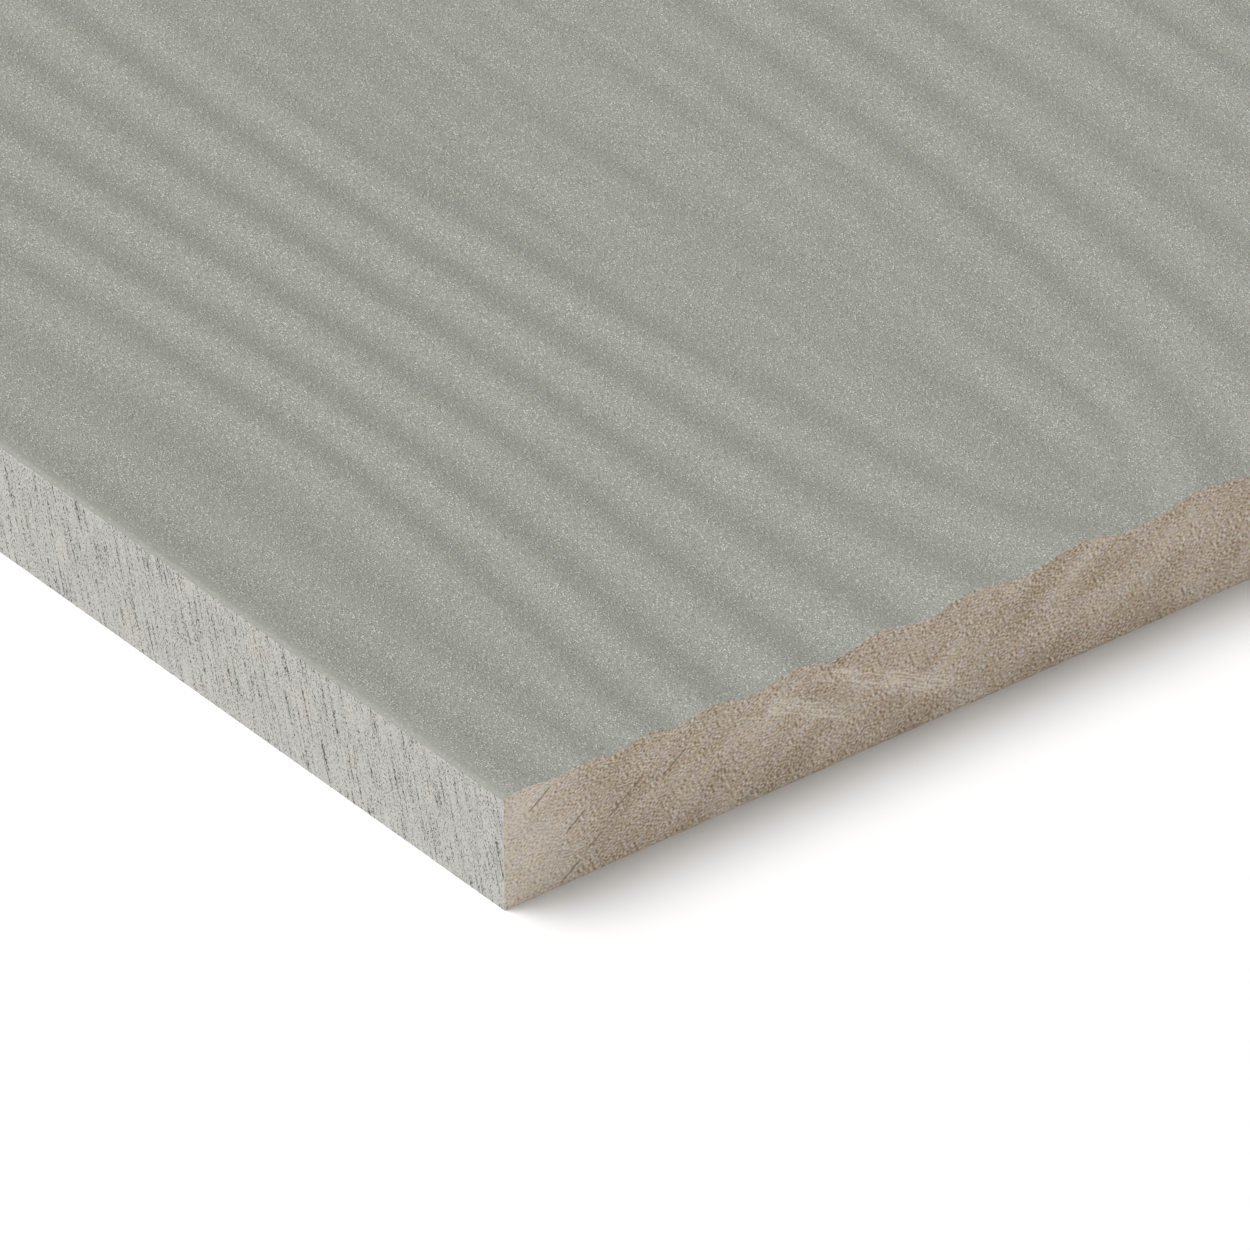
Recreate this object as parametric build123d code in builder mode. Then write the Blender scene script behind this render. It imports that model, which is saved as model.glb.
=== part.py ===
"""Fibre cement cladding plank: one pressed and coated board with wood grain on its face.

The plank lies on its back. X runs along the length, Y across the width and Z through the
thickness, with the origin at the middle of the back. Sizes are in millimetres.

The face copies flat-sawn timber. Its ridges are the growth rings that a saw cut meets on both
sides of the heart of the log, so they stand wide apart over the heart and close up away from it.
"""

import os
from math import atan2, ceil, degrees, sqrt

from build123d import *

# The plank as it is sold
LENGTH = 3600
WIDTH = 190
THICKNESS = 10  # from the back to the crests of the grain
ARRIS_RADIUS = 0.4  # the coating rounds the long edges of the face

# The growth rings that the face copies
HEART_FROM_EDGE = 59.5  # place of the heart across the width, from the -Y edge
HEART_DEPTH = 9  # how deep the heart lies under the face
FIRST_RING_RISE = 0.65  # the first ring that reaches the face would stand this high over it
WIDE_RINGS = 4  # the young wood round the heart has wide rings
WIDE_PITCH = 7.9  # from one wide ring to the next
NARROW_PITCH = 5.7  # from one ring to the next further out

# The ridges that the press makes of them
RELIEF_DEPTH = 0.75  # from a crest down to the valley beside it
EDGE_LAND = 1.2  # least width of plain face between an arris and the last crest
EDGE_RELIEF_SHARE = 0.27  # the grain is pressed less deep at the long edges
FADE_WIDTH = 27  # how far in from an edge the grain reaches its full depth

edge_y = WIDTH / 2
heart_y = HEART_FROM_EDGE - edge_y
land_y = edge_y - ARRIS_RADIUS - EDGE_LAND


def ring_radius(ring):
    """Radius of a growth ring, counted from the first one that reaches the face."""
    wide = min(ring, WIDE_RINGS)
    return HEART_DEPTH + FIRST_RING_RISE + wide * WIDE_PITCH + (ring - wide) * NARROW_PITCH


def crest_lines():
    """Where the face cuts the rings, from -Y to +Y."""
    ring_count = ceil(WIDTH / min(WIDE_PITCH, NARROW_PITCH))
    lines = []
    for ring in range(ring_count):
        half_chord = sqrt(ring_radius(ring) ** 2 - HEART_DEPTH**2)
        lines += [heart_y - half_chord, heart_y + half_chord]
    return sorted(y for y in lines if abs(y) < land_y)


def relief_at(y):
    """Depth of the grain below the crests, faded towards the long edges."""
    inward = min((edge_y - abs(y)) / FADE_WIDTH, 1)
    return RELIEF_DEPTH * (EDGE_RELIEF_SHARE + (1 - EDGE_RELIEF_SHARE) * inward)


def face_points():
    """The face across the plank, from -Y to +Y: edge, crests with valleys between, edge."""
    crests = crest_lines()
    edge_height = THICKNESS - relief_at(edge_y) / 2
    points = [(-edge_y, edge_height)]
    for crest, next_crest in zip(crests, crests[1:]):
        valley = (crest + next_crest) / 2
        points += [(crest, THICKNESS), (valley, THICKNESS - relief_at(valley))]
    points += [(crests[-1], THICKNESS), (edge_y, edge_height)]
    return points


with BuildPart() as plank:
    # The section, with the grain as its upper side: an ogee of two equal arcs from each crest to
    # the next valley and back, level at both
    with BuildSketch(Plane.YZ.offset(-LENGTH / 2)):
        with BuildLine():
            face = face_points()
            for start, end in zip(face, face[1:]):
                run = end[0] - start[0]
                rise = end[1] - start[1]
                radius = (run**2 + rise**2) / (4 * abs(rise))
                turn = 2 * degrees(atan2(rise, run))
                first_arc = JernArc(start, (1, 0), radius, turn)
                JernArc(first_arc @ 1, first_arc % 1, radius, -turn)
            Polyline(face[-1], (edge_y, 0), (-edge_y, 0), face[0])
        make_face()
    extrude(amount=LENGTH)

    # The two arrises of the face, rounded by the coating
    sides = plank.edges().filter_by(Axis.X).group_by(Axis.Y)
    arrises = [side.sort_by(Axis.Z)[-1] for side in (sides[0], sides[-1])]
    fillet(arrises, radius=ARRIS_RADIUS)

plank.part.label = "plank"
os.makedirs("parts", exist_ok=True)
export_step(plank.part, "parts/plank.step")
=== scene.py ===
"""The look of a fibre cement cladding plank, built round its CAD frame.

Everything is in metres, in the frame of the CAD: X along the plank, Y across it and Z up. The
camera looks down on the corner at the +X end of the -Y edge.
"""

import math

import bpy
from mathutils import Matrix, Vector


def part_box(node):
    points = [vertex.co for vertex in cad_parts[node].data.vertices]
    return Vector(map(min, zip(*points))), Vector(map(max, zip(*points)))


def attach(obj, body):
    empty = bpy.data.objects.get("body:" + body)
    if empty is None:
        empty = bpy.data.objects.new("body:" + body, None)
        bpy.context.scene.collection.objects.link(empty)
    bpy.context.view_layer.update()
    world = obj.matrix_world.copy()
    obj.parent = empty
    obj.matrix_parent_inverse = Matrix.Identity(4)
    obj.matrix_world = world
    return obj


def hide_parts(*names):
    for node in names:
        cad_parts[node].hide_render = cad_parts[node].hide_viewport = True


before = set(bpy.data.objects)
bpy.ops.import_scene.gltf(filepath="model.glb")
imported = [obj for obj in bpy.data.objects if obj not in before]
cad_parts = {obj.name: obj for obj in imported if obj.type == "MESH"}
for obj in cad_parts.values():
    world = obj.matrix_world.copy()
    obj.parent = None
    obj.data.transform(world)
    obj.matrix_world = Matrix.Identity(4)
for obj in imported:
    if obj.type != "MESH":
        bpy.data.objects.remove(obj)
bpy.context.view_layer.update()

# Pressed board
# One board of fibre cement: cement, sand and pulp, laid up wet and pressed between a flat plate and
# a plate that copies flat-sawn timber. The growth rings of the log stand up as ridges on its face.

MM = 0.001
low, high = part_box("plank")
SIZES = {
    "Length": high.x - low.x,
    "Width": high.y - low.y,
    "Thickness": high.z - low.z,
    "Arris Radius": 0.4 * MM,
    # Growth rings
    "Heart From Edge": 59.5 * MM,
    "Heart Depth": 9 * MM,
    "First Ring Rise": 0.65 * MM,
    "Wide Rings": 4,
    "Wide Pitch": 7.9 * MM,
    "Narrow Pitch": 5.7 * MM,
    # Ridges, with the distances from the cut end at which each of their changes is complete
    "Relief Depth": 0.75 * MM,
    "Edge Relief Share": 0.27,
    "Fade Width": 27 * MM,
    "Inner Fade Share": 0.6,
    "Inner Fade Full": 25 * MM,
    "Worn Relief Share": 0.8,
    "Worn Relief Full": 15 * MM,
    "Uneven Depth": 1.2,
    "Uneven Full": 25 * MM,
    "Uneven Cloud Length": 55 * MM,
    "Uneven Cloud Width": 11 * MM,
    "Mottle Depth": 0.12 * MM,
    "Mottle Full": 8 * MM,
    "Mottle Cloud Length": 16 * MM,
    "Mottle Cloud Width": 9 * MM,
    # Open heart
    "Opening From End": 75 * MM,
    "Opening Gap": 9 * MM,
    "Figure Length": 900 * MM,
    "Inner Relief Share": 0.4,
    "Heart Valley Share": 0.55,
    "Heart Valley Full": 20 * MM,
    "Heart Mottle Depth": 0.6 * MM,
    "Heart Mottle Length": 38 * MM,
    "Heart Mottle Width": 5 * MM,
    "Tip Loss": 0.4,
    "Tip Core": 4 * MM,
    "Tip Reach": 10 * MM,
    "Tip Start": 2 * MM,
    "Tip Full": 15 * MM,
    # Drift of the grain
    "Swirl Lift": 5.6 * MM,
    "Swirl From End": 50 * MM,
    "Swirl From Edge": 20 * MM,
    "Far Side Shift": 9 * MM,
    "Far Side Lead": 20 * MM,
    "Far Side Peak": 140 * MM,
    "Wander": 18 * MM,
    "Wander Start": 60 * MM,
    "Wander Full": 300 * MM,
    "Wander Cloud Length": 230 * MM,
    "Wander Cloud Width": 75 * MM,
    "Seed": 3.7,
}
# The rows and columns of the mesh, with the first gap of each as a share of the mean gap
ROWS_ALONG = 440
FIRST_ROW_SHARE = 0.08
FACE_COLUMNS = 200
FIRST_COLUMN_SHARE = 0.8
ARRIS_COLUMNS = 5
EDGE_ROWS = 4


class Field:
    """A value that changes over the plank, held by the socket of a node. Arithmetic adds nodes."""

    def __init__(self, socket):
        self.socket = socket

    def step(self, operation, *others):
        return maths(self.socket.id_data, operation, self, *others)

    def __add__(self, other):
        return self.step("ADD", other)

    def __sub__(self, other):
        return self.step("SUBTRACT", other)

    def __rsub__(self, other):
        return maths(self.socket.id_data, "SUBTRACT", other, self)

    def __mul__(self, other):
        return self.step("MULTIPLY", other)

    def __truediv__(self, other):
        return self.step("DIVIDE", other)

    def __abs__(self):
        return self.step("ABSOLUTE")

    def squared(self):
        return self * self

    def root(self):
        return self.at_least(0).step("SQRT")

    def at_least(self, other):
        return self.step("MAXIMUM", other)

    def at_most(self, other):
        return self.step("MINIMUM", other)

    def within(self, low_end, high_end):
        return self.at_least(low_end).at_most(high_end)

    def ramp(self, low_end, high_end):
        """0 below the low end, 1 above the high end, smooth between."""
        feeds = {"Value": self, "From Min": low_end, "From Max": high_end}
        return out(wire(self.socket.id_data, "ShaderNodeMapRange", feeds, interpolation_type="SMOOTHSTEP"))


def wire(tree, kind, feeds, **settings):
    """Adds a node to a tree, with its settings, and feeds its inputs from fields or plain values."""
    node = tree.nodes.new(kind)
    for name, value in settings.items():
        setattr(node, name, value)
    for name, value in feeds.items():
        if isinstance(value, Field):
            tree.links.new(value.socket, node.inputs[name])
        else:
            node.inputs[name].default_value = value
    return node


def out(node, name=0):
    return Field(node.outputs[name])


def maths(tree, operation, *terms):
    return out(wire(tree, "ShaderNodeMath", dict(enumerate(terms)), operation=operation))


def noise(tree, place, scale=1.0, detail=2.0):
    """Cloudy noise about 0.5, with one cloud or so for each unit of place times scale."""
    feeds = {"Vector": place, "Scale": scale, "Detail": detail}
    return out(wire(tree, "ShaderNodeTexNoise", feeds))


press = bpy.data.node_groups.new("plank_press", "GeometryNodeTree")
press.interface.new_socket("Mesh", in_out="OUTPUT", socket_type="NodeSocketGeometry")
for name in SIZES:
    press.interface.new_socket(name, in_out="INPUT", socket_type="NodeSocketFloat")
press_in = press.nodes.new("NodeGroupInput")
size = {name: out(press_in, name) for name in SIZES}


def store(geometry, name, value):
    """Keeps a value on each point, for use once the points are swept into a mesh."""
    feeds = {"Geometry": geometry, "Name": name, "Value": value}
    return out(wire(press, "GeometryNodeStoreNamedAttribute", feeds, data_type="FLOAT", domain="POINT"))


def recall(name):
    return out(wire(press, "GeometryNodeInputNamedAttribute", {"Name": name}, data_type="FLOAT"))


# The rows along the plank, close together at the end that the camera sees
index = out(press.nodes.new("GeometryNodeInputIndex"))
line = out(wire(press, "GeometryNodeMeshLine", {"Count": ROWS_ALONG + 1}))
row = index / ROWS_ALONG
row_place = row * (row * (1 - FIRST_ROW_SHARE) + FIRST_ROW_SHARE)
path = out(wire(press, "GeometryNodeMeshToCurve", {"Mesh": line}))
path = store(path, "from_end", size["Length"] * row_place)

# The points round the section: up one edge, over its arris, across the face and down the other edge
point_count = FACE_COLUMNS + 2 * ARRIS_COLUMNS + 2 * EDGE_ROWS + 1
circle = out(wire(press, "GeometryNodeCurvePrimitiveCircle", {"Resolution": point_count}, mode="RADIUS"))
column_turn = math.pi / 2 / ARRIS_COLUMNS
near_turn = (index - EDGE_ROWS).within(0, ARRIS_COLUMNS) * column_turn
far_turn = (index - (EDGE_ROWS + ARRIS_COLUMNS + FACE_COLUMNS)).within(0, ARRIS_COLUMNS) * column_turn
column = (index - (EDGE_ROWS + ARRIS_COLUMNS)).within(0, FACE_COLUMNS) / FACE_COLUMNS
column_place = column * (column * (1 - FIRST_COLUMN_SHARE) + FIRST_COLUMN_SHARE)
arris = size["Arris Radius"]
from_edge = arris * (1 - near_turn.step("COSINE")) + arris * far_turn.step("SINE")
from_edge = from_edge + (size["Width"] - arris * 2) * column_place
climb = (index / EDGE_ROWS).at_most((point_count - 1 - index) / EDGE_ROWS).within(0, 1)
section = store(store(circle, "from_edge", from_edge), "climb", climb)
sweep = {"Curve": path, "Profile Curve": section, "Fill Caps": True}
swept = out(wire(press, "GeometryNodeCurveToMesh", sweep))

# The grain drifts: a swirl beside a knot near the end, the far side of the heart set further off, and
# a slow wander further along
from_end, from_edge, climb = recall("from_end"), recall("from_edge"), recall("climb")
along = size["Length"] / 2 - from_end
across = from_edge - size["Width"] / 2


def grain_noise(name, layer):
    """Noise about 0 with the named length along the grain and width across it, in a layer of its own."""
    cloud_along = along / size[f"{name} Length"]
    cloud_across = across / size[f"{name} Width"]
    feeds = {"X": cloud_along, "Y": cloud_across, "Z": size["Seed"] + layer}
    return noise(press, out(wire(press, "ShaderNodeCombineXYZ", feeds))) - 0.5


def swell(distance, peak):
    """Rises from 0 to 1 at the peak and dies away beyond it."""
    share = distance / peak
    return share * (1 - share).step("EXPONENT")


end_swell = swell(from_end, size["Swirl From End"]).squared()
side_swell = swell(from_edge, size["Swirl From Edge"]).squared().squared()
swirl = size["Swirl Lift"] * end_swell * side_swell
settled = from_end.ramp(size["Wander Start"], size["Wander Full"])
wander = size["Wander"] * grain_noise("Wander Cloud", 0) * settled
past_heart = from_edge - swirl - wander - size["Heart From Edge"]
far_shift = size["Far Side Shift"] * swell(from_end + size["Far Side Lead"], size["Far Side Peak"])
to_heart = (past_heart * -1).at_least(past_heart - far_shift).step("SMOOTH_MAX", 0, far_shift / 2)

# The growth rings: how far each point of the face lies from the heart of the log, which dips under
# the face and comes up through it along the plank
depth_at_end = size["Heart Depth"].squared()
depth_at_opening = size["Opening Gap"].squared() * -1
dip = ((from_end - size["Opening From End"]) / size["Figure Length"] * math.pi).step("SINE").squared()
dip_at_end = (size["Opening From End"] / size["Figure Length"] * math.pi).step("SINE").squared()
depth = depth_at_opening + (depth_at_end - depth_at_opening) * dip / dip_at_end
radius = (to_heart.squared() + depth).root()
first_ring = size["Heart Depth"] + size["First Ring Rise"]
beyond = (radius - first_ring).at_least(0)
wide_zone = size["Wide Pitch"] * size["Wide Rings"]
ring = beyond.at_most(wide_zone) / size["Wide Pitch"]
ring = ring + (beyond - wide_zone).at_least(0) / size["Narrow Pitch"]

# Where the heart opens, lower ridges nest inside the first ring, and their tips are soft
half_chord = (first_ring.squared() - depth).root()
half_chord_at_end = (first_ring.squared() - depth_at_end).root()
inside = ((half_chord - to_heart) / half_chord_at_end).at_least(0)
ring = ring + inside / 2
in_heart = inside.ramp(1, 2)
height_share = 1 - in_heart * (1 - size["Inner Relief Share"])
soft_tip = 1 - to_heart.ramp(size["Tip Core"], size["Tip Reach"])
soft_tip = soft_tip * from_end.ramp(size["Tip Start"], size["Tip Full"])
height_share = height_share * (1 - soft_tip * size["Tip Loss"])

# The ridges: crests at full height, valleys pressed below them, less deep near the long edges and in
# the open heart. Away from the cut end they are lower and uneven
ridge = (ring * (2 * math.pi)).step("COSINE") * 0.5 + 0.5
loss = (grain_noise("Uneven Cloud", 5) + 0.1).within(0, 0.4) * size["Uneven Depth"]
unevenness = 1 - loss * from_end.ramp(0, size["Uneven Full"])
worn = 1 - from_end.ramp(0, size["Worn Relief Full"]) * (1 - size["Worn Relief Share"])
valley = 1 - ridge * height_share * unevenness * worn
shallow = inside.ramp(0, 1) * from_end.ramp(0, size["Heart Valley Full"])
valley = valley * (1 - shallow * (1 - size["Heart Valley Share"]))
to_edge = from_edge.at_most(size["Width"] - from_edge)
narrowing = from_end.ramp(0, size["Inner Fade Full"]) * (1 - size["Inner Fade Share"])
fade = (to_edge / (size["Fade Width"] * (1 - narrowing))).at_most(1)
relief = size["Relief Depth"] * (fade * (1 - size["Edge Relief Share"]) + size["Edge Relief Share"])
mottle = size["Mottle Depth"] * (grain_noise("Mottle Cloud", 9) + 0.5)
heart_mottle = (grain_noise("Heart Mottle", 13) * 3.2 + 0.4).within(0, 1) * inside.ramp(0.3, 1.3)
mottle = mottle + size["Heart Mottle Depth"] * heart_mottle
mottle = mottle * from_end.ramp(0, size["Mottle Full"])
short = (arris - to_edge).at_least(0)
rounding = arris - (arris.squared() - short.squared()).root()
face_height = size["Thickness"] - relief * valley - mottle - rounding
spot = wire(press, "ShaderNodeCombineXYZ", {"X": along, "Y": across, "Z": climb * face_height})
pressed = out(wire(press, "GeometryNodeSetPosition", {"Geometry": swept, "Position": out(spot)}))

# Raw ends
# The plank is cut to length with a saw after painting, so both ends show the bare board: a warm tan
# of cement and pulp, with short fibres along the slope of the cut and thin scratches in it.

END_DARK = (0.158, 0.1, 0.045)
END_LIGHT = (0.56, 0.515, 0.462)
END_CORNER_PALE = (0.52, 0.48, 0.44)
TAN_TINT = (0.99, 0.945, 0.85)
SCRATCH_COLOUR = (0.12, 0.085, 0.06)
END_ROUGHNESS = 0.85
END_BUMP = 0.025 * MM
CUT_SLOPE = math.radians(31)
FIBRE_SLOPE = math.radians(22)
# Each kind of mark by its width and its length
FIBRE = (0.085 * MM, 0.25 * MM)
CLUMP = (0.4 * MM, 1.1 * MM)
TAN_CLUMP = (0.7 * MM, 1.8 * MM)
PATCH = (2.6 * MM, 7 * MM)
HAIR = (0.13 * MM, 3 * MM)
BREAK = (2 * MM, 0.5 * MM)
# The end is paler up to the first distance from the corner and plain beyond the second
CORNER_PALE_REACH = (3 * MM, 14 * MM)
CORNER_PALE_WAVER = 6 * MM
SCRATCH_SLOPE = math.radians(36)
SCRATCH_WIDTH = 0.085 * MM
# Each scratch by its start, as distances from the corner and above the back, and its length, in mm
SCRATCHES = (
    (2.2, 7.6, 2.9),
    (5.7, 4.4, 2.5),
    (5.1, 0.1, 2.6),
    (7.4, 1.9, 2.3),
    (9.4, 3.9, 5.0),
    (14.6, 5.5, 3.2),
)
SCUFF_SLOPE = math.radians(-26)
# Each pale scuff by its start, its length and its width, in mm
SCUFFS = ((28.5, 9.2, 17.5, 1.2), (24.5, 7.9, 9.0, 0.9))


def new_group(name, inputs, outputs):
    """A shader group with its sockets, and the fields that its inputs give."""
    group = bpy.data.node_groups.new(name, "ShaderNodeTree")
    for socket, kind in inputs.items():
        group.interface.new_socket(socket, in_out="INPUT", socket_type=kind)
    for socket in outputs:
        group.interface.new_socket(socket, in_out="OUTPUT", socket_type="NodeSocketFloat")
    given = group.nodes.new("NodeGroupInput")
    return group, {socket: out(given, socket) for socket in inputs}


def new_material(name):
    """A material, its node tree, the place on the plank, and that place's three parts."""
    material = bpy.data.materials.new(name)
    material.use_nodes = True
    tree = material.node_tree
    place = out(tree.nodes.new("ShaderNodeTexCoord"), "Object")
    parts = wire(tree, "ShaderNodeSeparateXYZ", {"Vector": place})
    return material, tree, place, (out(parts, "X"), out(parts, "Y"), out(parts, "Z"))


def blend(tree, mask, first, second, mode="MIX"):
    """The first colour where the mask is 0, and the second mixed or multiplied in where it is 1."""
    node = tree.nodes.new("ShaderNodeMix")
    node.data_type = "RGBA"
    node.blend_type = mode
    sockets = {socket.identifier: socket for socket in node.inputs}
    for name, value in (("Factor_Float", mask), ("A_Color", first), ("B_Color", second)):
        if isinstance(value, Field):
            tree.links.new(value.socket, sockets[name])
        elif isinstance(value, tuple):
            sockets[name].default_value = (*value, 1)
        else:
            sockets[name].default_value = value
    return next(Field(socket) for socket in node.outputs if socket.identifier == "Result_Color")


def finish_surface(tree, colour, roughness, height, height_size):
    """Feeds the shader its colour and roughness, and a bump of the given height."""
    bump = out(wire(tree, "ShaderNodeBump", {"Height": height, "Distance": height_size}))
    shader = tree.nodes["Principled BSDF"]
    for name, value in (("Base Color", colour), ("Roughness", roughness), ("Normal", bump)):
        tree.links.new(value.socket, shader.inputs[name])


# Marks drawn out along one slope, shared by the sawn ends and the sawn edges
mark_inputs = ("Run", "Rise", "Slope", "Mark Width", "Mark Length", "Layer")
mark_sockets = {name: "NodeSocketFloat" for name in mark_inputs}
mark_group, given = new_group("sloping_marks", mark_sockets, ("Value",))
slope_sine = given["Slope"].step("SINE")
slope_cosine = given["Slope"].step("COSINE")
ahead = (given["Run"] * slope_cosine + given["Rise"] * slope_sine) / given["Mark Length"]
aside = (given["Rise"] * slope_cosine - given["Run"] * slope_sine) / given["Mark Width"]
mark_place = out(wire(mark_group, "ShaderNodeCombineXYZ", {"X": ahead, "Y": aside, "Z": given["Layer"]}))
mark_out = mark_group.nodes.new("NodeGroupOutput")
mark_group.links.new(noise(mark_group, mark_place, 1.0, 1.0).socket, mark_out.inputs["Value"])


def sloping_marks(tree, run, rise, slope, mark, layer):
    """Noise about 0.5 in marks of one width and length, drawn out along the slope."""
    feeds = dict(zip(mark_inputs, (run, rise, slope, *mark, layer)))
    return out(wire(tree, "ShaderNodeGroup", feeds, node_tree=mark_group))


def stroke(run, rise, start_run, start_rise, slope, length, width):
    """A mask of one straight stroke with soft sides and ends."""
    run = run - start_run
    rise = rise - start_rise
    ahead = run * math.cos(slope) + rise * math.sin(slope)
    aside = abs(rise * math.cos(slope) - run * math.sin(slope))
    body = 1 - aside.ramp(width * 0.3, width)
    return body * ahead.ramp(0, length * 0.15) * (1 - ahead.ramp(length * 0.85, length))


raw_end, tree, _, (end_side, run, rise) = new_material("raw_end")
run = run - low.y
fibres = sloping_marks(tree, run, rise, FIBRE_SLOPE, FIBRE, 1.0)
clumps = sloping_marks(tree, run, rise, CUT_SLOPE, CLUMP, 2.0)
patches = sloping_marks(tree, run, rise, CUT_SLOPE, PATCH, 3.0)
lightness = fibres * 0.88 + clumps * 0.08 + patches * 0.14
camera_end = end_side.ramp(0, 1)
hairs = sloping_marks(tree, run, rise, SCUFF_SLOPE, HAIR, 4.0).ramp(0.4, 0.62) * camera_end
for start_run, start_rise, length, width in SCUFFS:
    scuff = stroke(run, rise, start_run * MM, start_rise * MM, SCUFF_SLOPE, length * MM, width * MM)
    lightness = lightness + scuff * hairs * 0.1
# Paler towards the corner of the end, fading out with a waver
toward_corner = 1 - (run + patches * CORNER_PALE_WAVER).ramp(*CORNER_PALE_REACH)
colour = blend(tree, (lightness + toward_corner * 0.055).ramp(0.43, 0.67), END_DARK, END_LIGHT)
tan = sloping_marks(tree, run, rise, CUT_SLOPE, TAN_CLUMP, 6.0).ramp(0.4, 0.62)
colour = blend(tree, tan, colour, TAN_TINT, "MULTIPLY")
colour = blend(tree, toward_corner * 0.15, colour, END_CORNER_PALE)
cut = fibres * 0.85 + clumps * 0.15
breaks = sloping_marks(tree, run, rise, CUT_SLOPE, BREAK, 5.0).ramp(0.28, 0.42) * camera_end
for start_run, start_rise, length in SCRATCHES:
    scratch = stroke(run, rise, start_run * MM, start_rise * MM, SCRATCH_SLOPE, length * MM, SCRATCH_WIDTH)
    scratch = scratch * breaks
    colour = blend(tree, scratch * 0.95, colour, SCRATCH_COLOUR)
    cut = cut - scratch * 0.6
finish_surface(tree, colour, fibres * 0.1 + END_ROUGHNESS, cut, END_BUMP)

# Back
# The side that lies against the wall battens. It takes the felt of the flat plate and a thin grey
# sealer, so it is level and nearly plain.

BACK_DARK = (0.35, 0.345, 0.32)
BACK_LIGHT = (0.43, 0.42, 0.395)
BACK_CLOUDS = 1 / (35 * MM)
BACK_ROUGHNESS = 0.8
BACK_BUMP = 0.1 * MM
FELT_GRAINS = 1 / (0.6 * MM)

# Round grains of several sizes in a finer sand, shared by every coated side
grain_inputs = {"Place": "NodeSocketVector", "Grains per Metre": "NodeSocketFloat"}
grain_outputs = ("Height", "Speck", "Sand")
grain_group, given = new_group("dried_grains", grain_inputs, grain_outputs)
cell_feeds = {"Vector": given["Place"], "Scale": given["Grains per Metre"]}
cells = wire(grain_group, "ShaderNodeTexVoronoi", cell_feeds)
pick = out(wire(grain_group, "ShaderNodeSeparateColor", {"Color": out(cells, "Color")}), "Red")
dome = (1 - (out(cells, "Distance") / (pick * 0.25 + 0.3)).squared()).at_least(0)
sand = noise(grain_group, given["Place"], given["Grains per Metre"] * 2, 1.0)
grain_out = grain_group.nodes.new("NodeGroupOutput")
grain_values = (dome * (pick * 0.6 + 0.4) + sand * 0.4, dome * pick.ramp(0.4, 0.9), sand)
for name, value in zip(grain_outputs, grain_values):
    grain_group.links.new(value.socket, grain_out.inputs[name])


def dried_grains(tree, place, grains_per_metre):
    """The height of the grains, a mask of the large ones and the sand between them."""
    feeds = {"Place": place, "Grains per Metre": grains_per_metre}
    node = wire(tree, "ShaderNodeGroup", feeds, node_tree=grain_group)
    return (out(node, name) for name in grain_outputs)


felt_back, tree, place, _ = new_material("felt_back")
grain_height, speck, _ = dried_grains(tree, place, FELT_GRAINS)
clouds = noise(tree, place, BACK_CLOUDS)
colour = blend(tree, (clouds * 0.8 + speck * 0.2).ramp(0.25, 0.75), BACK_DARK, BACK_LIGHT)
finish_surface(tree, colour, clouds * 0.1 + BACK_ROUGHNESS, grain_height, BACK_BUMP)

# Edge coat
# The long edges are sawn, then coated with the face. The coat is thin there and paler, and the pits
# and dashes that the saw's teeth tore show through it, all leaning the way that the teeth ran. Their
# near-black is painted shade.

EDGE_DARK = (0.36, 0.356, 0.329)
EDGE_LIGHT = (0.59, 0.582, 0.547)
EDGE_WARM = (0.53, 0.49, 0.43)
# Painted shade for the hollows of the torn pits and dashes
PIT_SHADE_PAINT = (0.04, 0.04, 0.036)
EDGE_ROUGHNESS = 0.7
EDGE_BUMP = 0.1 * MM
EDGE_GRAINS = 1 / (0.2 * MM)
WARM_CLOUDS = 1 / (4 * MM)
TOOTH_SLOPE = math.radians(-73)
# Each kind of mark by its width and its length
STREAK = (0.5 * MM, 6 * MM)
PORE = (0.09 * MM, 0.2 * MM)
TOOTH_LINE = (0.3 * MM, 4 * MM)
TEAR = (0.12 * MM, 0.5 * MM)

edge_coat, tree, place, (run, _, rise) = new_material("edge_coat")
grain_height, speck, sand = dried_grains(tree, place, EDGE_GRAINS)
streaks = sloping_marks(tree, run, rise, TOOTH_SLOPE, STREAK, 1.0)
pores = sloping_marks(tree, run, rise, TOOTH_SLOPE, PORE, 2.0)
tooth_lines = sloping_marks(tree, run, rise, TOOTH_SLOPE, TOOTH_LINE, 3.0)
tears = sloping_marks(tree, run, rise, TOOTH_SLOPE, TEAR, 4.0)
pits = (pores + tooth_lines * 0.4).ramp(0.79, 0.9)
dashes = (tears * 0.72 + tooth_lines * 0.5).ramp(0.757, 0.778)
torn = pits.at_least(dashes)
warmth = noise(tree, place, WARM_CLOUDS).ramp(0.56, 0.76)
lightness = (streaks - 0.5) * 0.4 + (sand - 0.5) * 1.3 + speck * 0.5 + 0.42
colour = blend(tree, lightness, EDGE_DARK, EDGE_LIGHT)
colour = blend(tree, warmth * 0.65, colour, EDGE_WARM)
# Painted shade: the pits and dashes turn near-black, beside the dip that the bump gives them
colour = blend(tree, torn * 0.95, colour, PIT_SHADE_PAINT)
edge_height = grain_height + streaks * 0.4 - torn
finish_surface(tree, colour, torn * 0.2 + EDGE_ROUGHNESS, edge_height, EDGE_BUMP)

# Face coat
# Two sprayed coats of matt paint in a grey green, baked on the pressed face. The spray dries as fine
# sandy grains; the small bright glints that they catch are painted on the large ones as pale specks.

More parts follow.
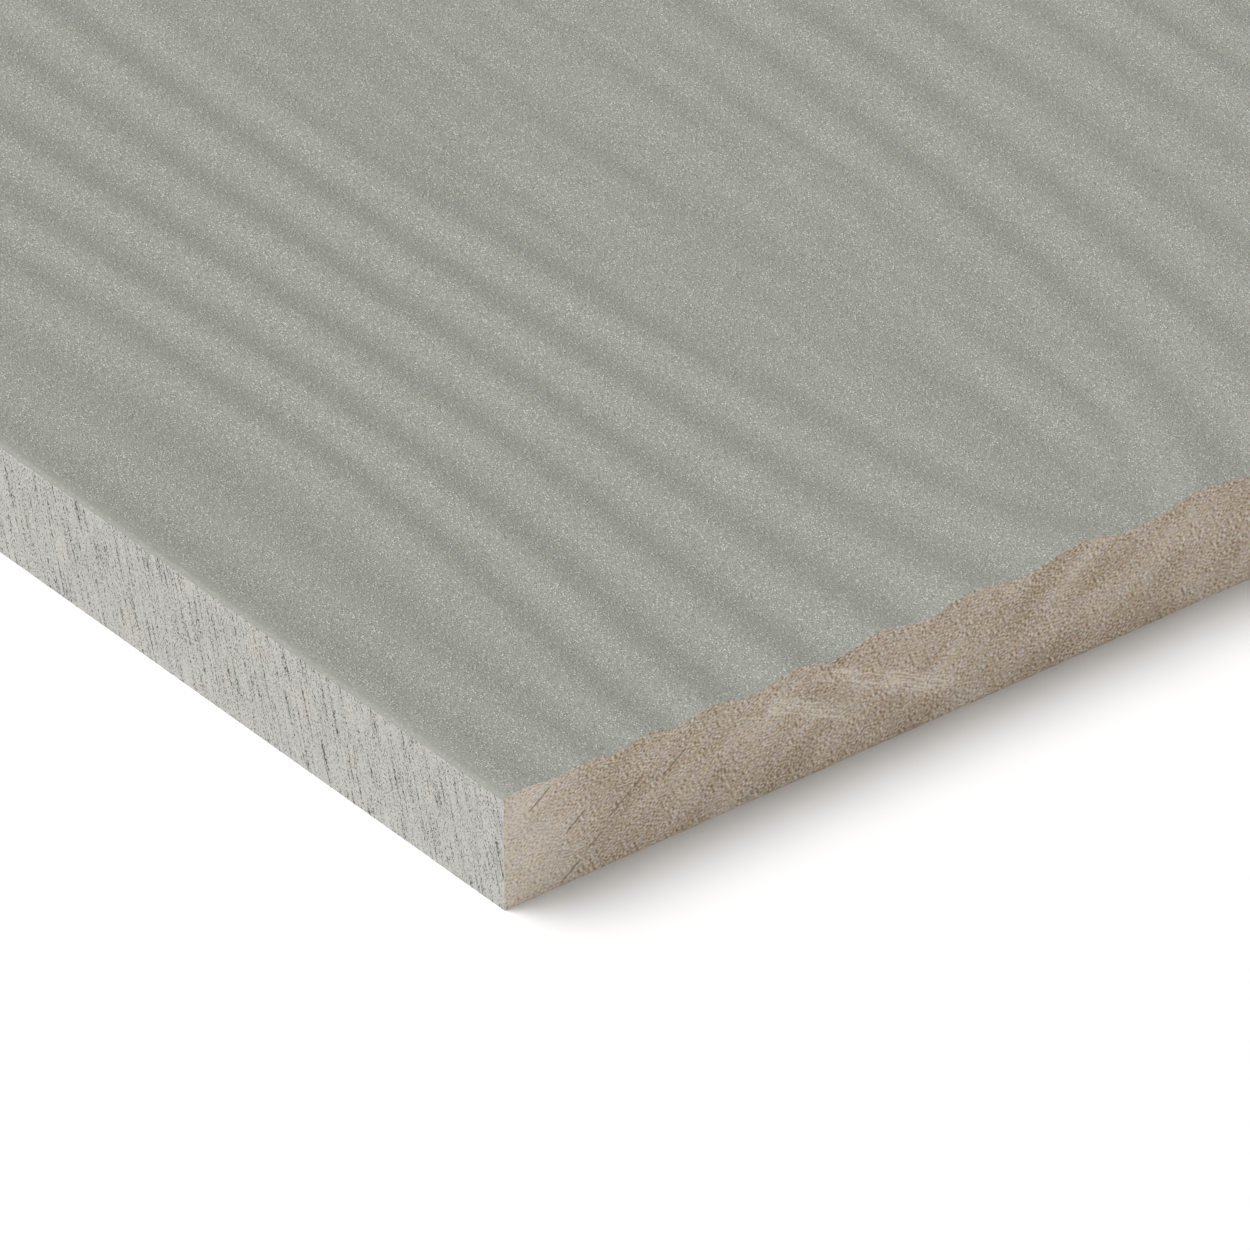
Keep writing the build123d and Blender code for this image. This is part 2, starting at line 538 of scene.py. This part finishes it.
FACE_DARK = (0.227, 0.231, 0.203)
FACE_LIGHT = (0.423, 0.428, 0.384)
FACE_GLINT_PAINT = (0.76, 0.765, 0.715)
SPRAY_GRAINS = 1 / (0.2 * MM)
SPRAY_HEIGHT = 0.09 * MM
FACE_CLOUDS = 1 / (14 * MM)
# The spray lies calm on the arris and reaches its full roughness further in
CALM_STRIP = (0.3 * MM, 1.6 * MM)
CALM_SHARE = 0.25
FACE_ROUGHNESS = 0.75
FACE_SHINE = 0.3

face_coat, tree, place, (_, across, _) = new_material("face_coat")
grain_height, speck, sand = dried_grains(tree, place, SPRAY_GRAINS)
clouds = noise(tree, place, FACE_CLOUDS)
rough_part = (high.y - abs(across)).ramp(*CALM_STRIP) * (1 - CALM_SHARE) + CALM_SHARE
lightness = ((sand - 0.5) * 3.6 + 0.05) * rough_part + clouds * 0.15 + 0.25
colour = blend(tree, lightness, FACE_DARK, FACE_LIGHT)
# Painted highlights: the large grains are blended towards a near-white glint colour
colour = blend(tree, speck * rough_part * 0.95, colour, FACE_GLINT_PAINT)
tree.nodes["Principled BSDF"].inputs["Specular IOR Level"].default_value = FACE_SHINE
finish_surface(tree, colour, FACE_ROUGHNESS - speck * 0.15, grain_height * rough_part, SPRAY_HEIGHT)

# Finished plank
# The board with its sides told apart by the way that they face: the coated face and long edges, the
# raw ends and the felted back. Its corners are left crisp by the saw.

# In radians: an edge that turns more is a sharp corner
CORNER_ANGLE = 0.7
# The part of a face's unit normal that has to point to a side for the face to belong to it
FACES_SIDE = 0.9

feeds = {"Geometry": pressed, "Shade Smooth": True}
smooth = wire(press, "GeometryNodeSetShadeSmooth", feeds, domain="FACE")
sharp = out(press.nodes.new("GeometryNodeInputMeshEdgeAngle")).step("GREATER_THAN", CORNER_ANGLE)
feeds = {"Geometry": out(smooth), "Selection": sharp, "Shade Smooth": False}
crisp = wire(press, "GeometryNodeSetShadeSmooth", feeds, domain="EDGE")
mesh = out(wire(press, "GeometryNodeRealizeInstances", {"Geometry": out(crisp)}))
normal = out(press.nodes.new("GeometryNodeInputNormal"))
facing = wire(press, "ShaderNodeSeparateXYZ", {"Vector": normal})
sides = {
    edge_coat: abs(out(facing, "Y")).step("GREATER_THAN", FACES_SIDE),
    raw_end: abs(out(facing, "X")).step("GREATER_THAN", FACES_SIDE),
    felt_back: out(facing, "Z").step("LESS_THAN", -FACES_SIDE),
}
mesh = out(wire(press, "GeometryNodeSetMaterial", {"Geometry": mesh, "Material": face_coat}))
for material, chosen in sides.items():
    feeds = {"Geometry": mesh, "Selection": chosen, "Material": material}
    mesh = out(wire(press, "GeometryNodeSetMaterial", feeds))
press.links.new(mesh.socket, press.nodes.new("NodeGroupOutput").inputs["Mesh"])

blank = bpy.data.objects.new("plank_blank", bpy.data.meshes.new("plank_blank"))
bpy.context.scene.collection.objects.link(blank)
pressing = blank.modifiers.new("press", "NODES")
pressing.node_group = press
for item in press.interface.items_tree:
    if item.in_out == "INPUT":
        pressing[item.identifier] = SIZES[item.name]
evaluated = blank.evaluated_get(bpy.context.evaluated_depsgraph_get())
plank_mesh = bpy.data.meshes.new_from_object(evaluated)
bpy.data.objects.remove(blank)
plank = bpy.data.objects.new("cladding_plank", plank_mesh)
bpy.context.scene.collection.objects.link(plank)
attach(plank, "root")
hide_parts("plank")

# Floor and light
# A plain white floor that keeps the shadow, one broad soft key from the left of the camera, and a
# fill from its right, so low that it lights the raw end and hardly the floor.

# Half of the floor's side, in metres: it fills the picture in every view
FLOOR_HALF = 300
FLOOR_COLOUR = (0.98, 0.98, 0.98, 1)
SKY_LIGHT = 0.24
KEY_FROM = Vector((-0.7, -0.71, 1.6))
KEY_STRENGTH = 2.8
KEY_SPREAD = math.radians(45)
FILL_FROM = Vector((0.85, -0.5, 0.05))
FILL_STRENGTH = 2.1
FILL_SPREAD = math.radians(20)

corners = [(x * FLOOR_HALF, y * FLOOR_HALF, low.z) for x, y in ((-1, -1), (1, -1), (1, 1), (-1, 1))]
floor_mesh = bpy.data.meshes.new("floor")
floor_mesh.from_pydata(corners, [], [(0, 1, 2, 3)])
floor = bpy.data.objects.new("floor", floor_mesh)
bpy.context.scene.collection.objects.link(floor)
floor_paint = bpy.data.materials.new("floor_paint")
floor_paint.use_nodes = True
floor_shader = floor_paint.node_tree.nodes["Principled BSDF"]
floor_shader.inputs["Base Color"].default_value = FLOOR_COLOUR
floor_shader.inputs["Roughness"].default_value = 1.0
floor_shader.inputs["Specular IOR Level"].default_value = 0.0
floor_mesh.materials.append(floor_paint)


def add_sun(name, comes_from, strength, spread):
    lamp = bpy.data.lights.new(name, "SUN")
    lamp.energy = strength
    lamp.angle = spread
    sun = bpy.data.objects.new(name, lamp)
    sun.rotation_mode = "QUATERNION"
    sun.rotation_quaternion = (-comes_from).to_track_quat("-Z", "Y")
    bpy.context.scene.collection.objects.link(sun)


add_sun("key", KEY_FROM, KEY_STRENGTH, KEY_SPREAD)
add_sun("fill", FILL_FROM, FILL_STRENGTH, FILL_SPREAD)

world = bpy.data.worlds.new("studio")
bpy.context.scene.world = world
world.use_nodes = True
tree = world.node_tree
light_path = tree.nodes.new("ShaderNodeLightPath")
seen = out(light_path, "Is Camera Ray").at_least(out(light_path, "Is Glossy Ray"))
seen = seen.at_least(out(light_path, "Is Transmission Ray"))
sky = tree.nodes["Background"]
sky.inputs["Color"].default_value = (1, 1, 1, 1)
tree.links.new((seen * (1 - SKY_LIGHT) + SKY_LIGHT).socket, sky.inputs["Strength"])

# Camera
# It looks down on the corner through a long lens, so that the corner falls on the same pixel as in
# the photograph, in a picture of 1250 by 1250 pixels.

PICTURE = 1250
CORNER_PIXEL = (504.4, 910.7)
FOCAL_PIXELS = 13652
AZIMUTH = math.radians(51.42)
ELEVATION = math.radians(32.97)
DISTANCE = 1.0

corner = Vector((high.x, low.y, low.z))
right = Vector((math.cos(AZIMUTH), math.sin(AZIMUTH), 0))
back = Vector((math.sin(AZIMUTH), -math.cos(AZIMUTH), 0)) * math.cos(ELEVATION)
back.z = math.sin(ELEVATION)
up = back.cross(right)
pixel = DISTANCE / FOCAL_PIXELS
beside = (CORNER_PIXEL[0] - PICTURE / 2) * pixel
below = (CORNER_PIXEL[1] - PICTURE / 2) * pixel
lens = bpy.data.cameras.new("camera")
lens.sensor_width = 36
lens.lens = FOCAL_PIXELS / PICTURE * lens.sensor_width
lens.clip_end = 2 * FLOOR_HALF
camera = bpy.data.objects.new("camera", lens)
camera.matrix_world = Matrix((right, up, back)).transposed().to_4x4()
camera.location = corner + back * DISTANCE - right * beside + up * below
bpy.context.scene.collection.objects.link(camera)
bpy.context.scene.camera = camera
bpy.context.scene.view_settings.view_transform = "Standard"
